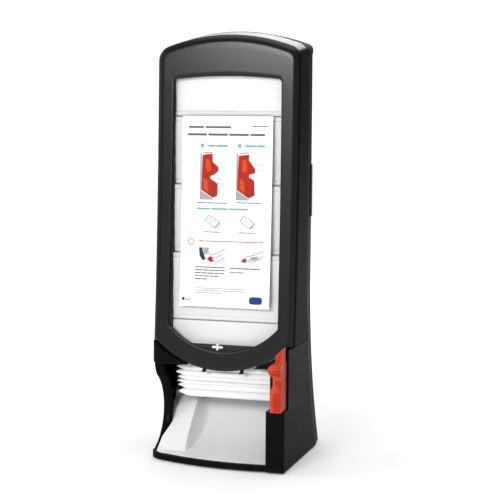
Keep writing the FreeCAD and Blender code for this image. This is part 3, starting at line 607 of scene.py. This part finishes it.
edge_line = []
for k in range(ARC_STEPS + 1):
    turn = math.pi - ARC_TURN * (k / ARC_STEPS)
    edge_line.append((ARC_Y + ARC_R * (1 + math.cos(turn)), ARC_Z - ARC_R * math.sin(turn)))
dy = MEET_Y - edge_line[-1][0]
dz = MEET_Z - edge_line[-1][1]
edge_line = [(y + dy * k / ARC_STEPS, z + dz * k / ARC_STEPS)
             for k, (y, z) in enumerate(edge_line)]
first = math.atan2(MEET_Z - HOLLOW_Z, MEET_Y - HOLLOW_Y)
last = math.atan2(TOE_Z - HOLLOW_Z, TOE_Y - HOLLOW_Y)
for k in range(1, HOLLOW_STEPS + 1):
    turn = first + (last - first) * k / HOLLOW_STEPS
    edge_line.append((HOLLOW_Y + HOLLOW_R * math.cos(turn),
                      HOLLOW_Z + HOLLOW_R * math.sin(turn)))
rows = []
for k, (y, z) in enumerate(edge_line):
    before, after = edge_line[max(0, k - 1)], edge_line[min(len(edge_line) - 1, k + 1)]
    run = math.hypot(after[0] - before[0], after[1] - before[1])
    ny, nz = (after[1] - before[1]) / run, -(after[0] - before[0]) / run
    if ny > 0:
        ny, nz = -ny, -nz
    down = min(1.0, max(0.0, (z - TOE_Z) / 32.0))      # 0 at the toe, 1 above 44 mm
    wide = 1.2 + 12.6 * down ** 0.8
    thin = 0.3 + 0.7 * down
    rows.append([(EDGE_X + wide * u, y + ny * lift * thin, z + nz * lift * thin)
                 for u, lift in EDGE_PROFILE])
verts, faces = strip(rows, close=True)
piece("base_rolled_edge", verts, faces, "base_plastic", "housing", smooth_levels=1, sharp=50)

# ---------------------------------------------------------------- napkins


def slab(verts, faces, x0, x1, y0, y1, z0, z1, point=0.0, wave=0.0, steps=14,
         soft=1.0):
    """A folded napkin bundle: rounded front fold, pointed left end."""
    height = z1 - z0
    base = len(verts)
    profile = []
    bulge = min(height / 2, 3.2) * soft
    for k in range(9):
        angle = math.pi / 2 - math.pi * k / 8
        profile.append((y0 + bulge - bulge * math.cos(angle), math.sin(angle) * 0.5 + 0.5))
    profile += [(y1 - 1, 0.0), (y1, 0.12), (y1, 0.88), (y1 - 1, 1.0)]
    phase = dice.uniform(0, 6.28)
    for i in range(steps + 1):
        share = i / steps
        x = x0 + (x1 - x0) * share ** (1.6 if point else 1.0)
        near = min(1.0, (x - x0) / point) if point else 1.0
        grow = 0.16 + 0.84 * near ** 0.75
        low = z0 + height * 0.62 * (1 - grow)
        tall = height * grow
        shift = wave * math.sin(share * 5 + phase) + wave * 0.5 * math.sin(share * 11 + phase * 2)
        recede = (1 - near) * 5.0
        for y, s in profile:
            depth = y + (recede + shift if y < y1 - 5 else 0)
            verts.append((x, depth, low + tall * s))
    count = len(profile)
    for i in range(steps):
        for k in range(count):
            j = (k + 1) % count
            a, b = base + i * count, base + (i + 1) * count
            faces.append((a + k, b + k, b + j, a + j))
    faces.append(tuple(base + k for k in range(count)))
    faces.append(tuple(base + steps * count + k for k in reversed(range(count))))


SHEETS = 14           # bundles in a pack

for number in range(1, 5):
    low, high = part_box("napkin_pack_%d" % number)
    x0, x1 = low.x / MM, high.x / MM
    y0, y1 = low.y / MM - DATUM, high.y / MM - DATUM
    z0, z1 = low.z / MM, high.z / MM
    verts, faces = [], []
    pitch = (z1 - z0) / SHEETS
    for s in range(SHEETS):
        jog = dice.uniform(0, 0.07)
        slab(verts, faces, x0 + dice.uniform(0, 0.7), x1 - dice.uniform(0, 0.7), y0 + jog,
             y1 - dice.uniform(0, 0.6), z0 + s * pitch, z0 + (s + 1) * pitch, wave=0.05,
             steps=8, soft=0.9 if s in (0, SHEETS - 1) else 0.09)
    piece("napkins_%d" % number, verts, faces, "napkin_paper", "housing",
          ["napkin_pack_%d" % number], sharp=60)

TOPS = (101, 109, 114, 120.5, 128.5, 136.5, 147)
LEFTS = (-72.5, -74, -75.5, -75, -78, -77, -80.5)
RIGHTS = (77.4, 78.0, 77.2, 78.6, 79.0, 78.2, 79.2)
FRONTS = (-55.4, -53.2, -54.2, -52.6, -53.6, -52.0, -51.2)
SHELF, LOOSE_LOW, LOOSE_TOP, LOOSE_REAR = 90.7, 147.2, 203.2, 26.2
verts, faces = [], []
low = SHELF
for top, left, right, front in zip(TOPS, LEFTS, RIGHTS, FRONTS):
    slab(verts, faces, left, right, front, LOOSE_REAR, low, top - 0.15, point=16, wave=0.35,
         steps=22)
    low = top
step = (LOOSE_TOP - LOOSE_LOW) / SHEETS
for s in range(SHEETS):
    slab(verts, faces, -82.3 + dice.uniform(0, 0.8), 82.3 - dice.uniform(0, 0.8),
         -50 + dice.uniform(0, 0.07), LOOSE_REAR, LOOSE_LOW + s * step,
         LOOSE_LOW + (s + 1) * step, wave=0.1, steps=8, soft=0.09)
piece("napkins_5", verts, faces, "napkin_paper", "housing", ["napkin_pack_5"], sharp=60)

# ---------------------------------------------------------------- printed card

CARD_INSET = 5.06     # just in front of the card's own face at 5.1


def flat_shape(verts, faces, outline, lift=0.0):
    base = len(verts)
    verts += [(x, face_y(z, CARD_INSET - lift), z) for x, z in outline]
    faces.append(tuple(base + i for i in range(len(outline))))


def bar(verts, faces, x0, x1, z, height, pieces=1, gap=0.8):
    """A printed line as short dashes of uneven length, like blurred text."""
    weights = [dice.uniform(0.6, 1.4) for _ in range(pieces)]
    total = sum(weights)
    usable = (x1 - x0) - gap * (pieces - 1)
    x = x0
    for w in weights:
        wide = usable * w / total
        flat_shape(verts, faces, [(x, z - height / 2), (x + wide, z - height / 2),
                                  (x + wide, z + height / 2), (x, z + height / 2)])
        x += wide + gap


def stroke(verts, faces, points, wide):
    """A printed line through points."""
    for (ax, az), (bx, bz) in zip(points, points[1:]):
        length = math.hypot(bx - ax, bz - az)
        ux, uz = -(bz - az) / length * wide / 2, (bx - ax) / length * wide / 2
        flat_shape(verts, faces, [(ax - ux, az - uz), (bx - ux, bz - uz), (bx + ux, bz + uz),
                                  (ax + ux, az + uz)])


prints = {key: ([], []) for key in ("blue", "teal", "grey", "dark", "orange",
                                    "red", "pale", "mark")}


def lines(key, x0, x1, levels, height, parts, gap=0.8):
    for z in levels:
        bar(*prints[key], x0, x1, z, height, parts, gap)


lines("blue", -58.9, 5.4, (486.5,), 3.0, 2, 2.4)
lines("blue", -60.3, 56.7, (475.8,), 3.2, 4, 2.2)
lines("grey", 37, 61, (488.2,), 1.5, 2)
for x in (-40.1, 16.3):
    bar(*prints["teal"], x, x + 5, 460, 5.2)
    bar(*prints["teal"], x + 11, x + 41, 459.6, 3.0, 2, 1.0)
figures = (
    ((-37.2, 446.5), (-21.7, 448.4), (-21.5, 436.7), (-12.5, 428.7), (-12.4, 423.6),
     (-18.1, 418.0), (-24.4, 415.8), (-24.8, 412.5), (-13.2, 404.8), (-13.4, 387.2),
     (-20.9, 384.2), (-38.6, 395.7)),
    ((17.9, 445.9), (34.1, 447.6), (33.3, 439.4), (43.3, 426.5), (42.9, 420.9),
     (34.2, 418.2), (33.8, 415.3), (41.9, 410.3), (42.9, 388.9), (33.5, 384.5),
     (15.7, 396.3)))
for shape in figures:
    x = shape[0][0]
    flat_shape(*prints["pale"], [(x - 3.5, 449.5), (x - 0.6, 447.5), (x - 1.6, 394.5),
                                 (x + 17, 383.0), (x + 17, 381.5), (x - 3.5, 381.5)])
    flat_shape(*prints["pale"], [(x + 0.6, 447.6), (x + 2, 450.2), (x + 15, 451.0),
                                 (x + 15.6, 449.2)])
    flat_shape(*prints["red"], list(shape))
    flat_shape(*prints["orange"], [(x + 5, 441), (x + 12, 438), (x + 13, 424), (x + 6, 421)],
               lift=0.05)
    flat_shape(*prints["orange"], [(x + 1.5, 413), (x + 9, 409), (x + 10, 392), (x + 2, 397)],
               lift=0.05)
for start, end in (((-20, 413.8), (-3.5, 410.4)), ((-13, 406.0), (-3.5, 402.6)),
                   ((35, 436.8), (57.5, 431.0)), ((44.5, 427.0), (57.0, 423.2))):
    stroke(*prints["grey"], [start, end], 0.75)
lines("dark", -44.7, 1.2, (376.8,), 1.3, 4)
lines("dark", 14.8, 52.6, (378.0,), 1.3, 4)
lines("teal", -44.6, 33.2, (368.4,), 2.6, 3, 1.6)
for x in (-21.0, 32.0):
    stroke(*prints["grey"], [(x - 11, 352), (x - 5, 359), (x + 11, 349), (x + 4, 341),
                             (x - 11, 352)], 0.95)
    stroke(*prints["grey"], [(x - 8, 355.4), (x + 8, 345.2)], 0.6)
    stroke(*prints["dark"], [(x + 4, 341), (x + 11, 344.5), (x + 11, 349)], 1.1)
    lines("dark", x - 12, x + 12.5, (334.7,), 1.2, 3)
ring = [(-52.4 + 4.4 * math.cos(k * math.pi / 12), 319.8 + 4.4 * math.sin(k * math.pi / 12))
        for k in range(25)]
stroke(*prints["orange"], ring, 1.3)
lines("orange", -40.4, 56.9, (321.4,), 1.5, 11, 1.0)
for points in ([(-36, 311), (-31, 297), (-22, 292), (-12, 291), (0, 298)],
               [(-30, 311), (-22, 301), (-10, 305), (0, 312)],
               [(-24, 299), (-14, 297), (-4, 303)]):
    stroke(*prints["grey"], points, 1.0)
flat_shape(*prints["dark"], [(-40, 312), (-35, 312), (-33, 301), (-30, 295), (-34, 293),
                             (-39, 300)])
flat_shape(*prints["pale"], [(-34.5, 312), (-24, 312), (-27, 303), (-32, 301)])
flat_shape(*prints["red"], [(-27, 297), (-21, 300), (-17, 293), (-23, 291)])
for points in ([(24, 293), (31, 300), (44, 303), (57, 309)],
               [(31, 295), (42, 293), (54, 298), (57, 304)],
               [(40, 300), (52, 301)]):
    stroke(*prints["grey"], points, 1.0)
flat_shape(*prints["red"], [(25, 292), (28, 297), (33, 298), (32, 292)])
flat_shape(*prints["pale"], [(34, 296), (44, 295), (53, 299), (44, 301)])
for z, end in ((283.4, 0.0), (279.2, 0.5), (274.9, -1.0), (270.6, -9.0), (266.2, -27.0)):
    lines("grey", -45.5, end, (z,), 1.7, 5 if end > -20 else 2)
lines("grey", 8, 53, (283.0,), 1.8, 4)
lines("grey", 8, 29, (277.0,), 1.5, 2)
lines("pale", -45, 31.6, (252.8, 249.6), 1.3, 8)
lines("pale", -45, -3.2, (246.2,), 1.3, 4)
flat_shape(*prints["dark"], [(-64.4, 234.0), (-60.6, 234.0), (-60.6, 238.6), (-64.4, 238.6)])
lines("grey", -59, -52, (235.6,), 1.6, 2)
pill = []
for cx, cz, first in ((52.6, 239.4, 0), (43.0, 239.4, 90), (43.0, 235.4, 180), (52.6, 235.4, 270)):
    for k in range(5):
        angle = math.radians(first + k * 22.5)
        pill.append((cx + 5 * math.cos(angle), cz + 3.4 * math.sin(angle)))
flat_shape(*prints["mark"], pill)
INKS = {"blue": (0.09, 0.11, 0.19), "teal": (0.14, 0.42, 0.48), "grey": (0.12, 0.125, 0.14),
        "dark": (0.03, 0.03, 0.035), "red": (0.42, 0.016, 0.004),
        "orange": (0.60, 0.070, 0.012), "pale": (0.36, 0.37, 0.39),
        "mark": (0.010, 0.045, 0.26)}
for key, (verts, faces) in prints.items():
    piece("card_print_" + key, verts, faces, "card_stock", "cover",
          material=ink("ink_" + key, INKS[key]), thick=0.02)

# ---------------------------------------------------------------- camera, floor, lights

def matrix_from(location, right, up, forward):
    return Matrix(((right.x, up.x, -forward.x, location.x),
                   (right.y, up.y, -forward.y, location.y),
                   (right.z, up.z, -forward.z, location.z),
                   (0, 0, 0, 1)))


forward = Vector((-0.2909, 0.9516, -0.0992)).normalized()
CAMERA_TURN = math.radians(17)
flat_right = Vector((math.cos(CAMERA_TURN), math.sin(CAMERA_TURN), 0))
up = flat_right.cross(forward).normalized()
flat_right = forward.cross(up).normalized()
roll = math.radians(0.317)
right = flat_right * math.cos(roll) + up * math.sin(roll)
up = up * math.cos(roll) - flat_right * math.sin(roll)
lens = bpy.data.cameras.new("camera")
lens.lens = 101.75
lens.sensor_width = 36
lens.clip_start, lens.clip_end = 0.05, 100
camera = bpy.data.objects.new("camera", lens)
scene.collection.objects.link(camera)
camera.matrix_world = matrix_from(Vector((0.6304, -1.98768, 0.5127)), right, up, forward)
scene.camera = camera

FLOOR = 9             # half the floor's width, m
floor_mesh = bpy.data.meshes.new("floor")
floor_mesh.from_pydata([(-FLOOR, -FLOOR, 0), (FLOOR, -FLOOR, 0), (FLOOR, FLOOR, 0),
                        (-FLOOR, FLOOR, 0)], [], [(0, 1, 2, 3)])
floor = bpy.data.objects.new("floor", floor_mesh)
scene.collection.objects.link(floor)
pale = surface("floor_pale_painted_glow", (0.9, 0.9, 0.9), 0.85, blotch=0.01, spec=0.1, depth=0.0)
glow = pale.node_tree
shader = glow.nodes["Principled BSDF"]
shader.inputs["Emission Color"].default_value = (1, 1, 1, 1)
# The floor glows, weaker near the object and stronger far off: painted light that keeps the far
# floor white and lets the shadow near the object show.
spot = node(glow, "TexCoord")
away = node(glow, "VectorMath", operation="LENGTH")
painted_glow_ramp = node(glow, "MapRange")
for key, value in (("From Min", 0.3), ("From Max", 1.9), ("To Min", 0.16), ("To Max", 0.68)):
    painted_glow_ramp.inputs[key].default_value = value
glow.links.new(spot.outputs["Object"], away.inputs[0])
glow.links.new(away.outputs["Value"], painted_glow_ramp.inputs["Value"])
glow.links.new(painted_glow_ramp.outputs["Result"], shader.inputs["Emission Strength"])
floor_mesh.materials.append(pale)


def softbox(name, place, target, wide, tall, power):
    light = bpy.data.lights.new(name, "AREA")
    light.shape = "RECTANGLE"
    light.size, light.size_y = wide, tall
    light.energy = power
    lamp = bpy.data.objects.new(name, light)
    scene.collection.objects.link(lamp)
    lamp.location = place
    lamp.rotation_euler = (Vector(target) - Vector(place)).to_track_quat("-Z", "Y").to_euler()


softbox("key", (-0.41, -2.6, 1.10), (0, 0, 0.42), 0.9, 0.5, 36)
softbox("top", (0.1, 0.2, 2.6), (0, 0, 0.3), 2.2, 2.2, 30)
softbox("left", (-2.2, -0.6, 1.2), (0, 0, 0.35), 0.5, 1.6, 7)
softbox("back", (-0.5, 2.6, 1.7), (0, 0, 0.5), 2.0, 0.7, 20)

world = bpy.data.worlds.new("studio")
scene.world = world
world.use_nodes = True
tree = world.node_tree
background = tree.nodes["Background"]
background.inputs["Color"].default_value = (1, 1, 1, 1)
path = tree.nodes.new("ShaderNodeLightPath")
level = tree.nodes.new("ShaderNodeMapRange")
level.inputs["To Min"].default_value = 0.4
level.inputs["To Max"].default_value = 1.1
tree.links.new(path.outputs["Is Camera Ray"], level.inputs["Value"])
tree.links.new(level.outputs["Result"], background.inputs["Strength"])
scene.view_settings.view_transform = "Standard"

for name, obj in nodes.items():
    if obj.hide_render:
        continue
    slots = obj.material_slots
    chosen = slots[0].material.name.split(".")[0]
    for s in slots:
        s.material = finish[chosen]
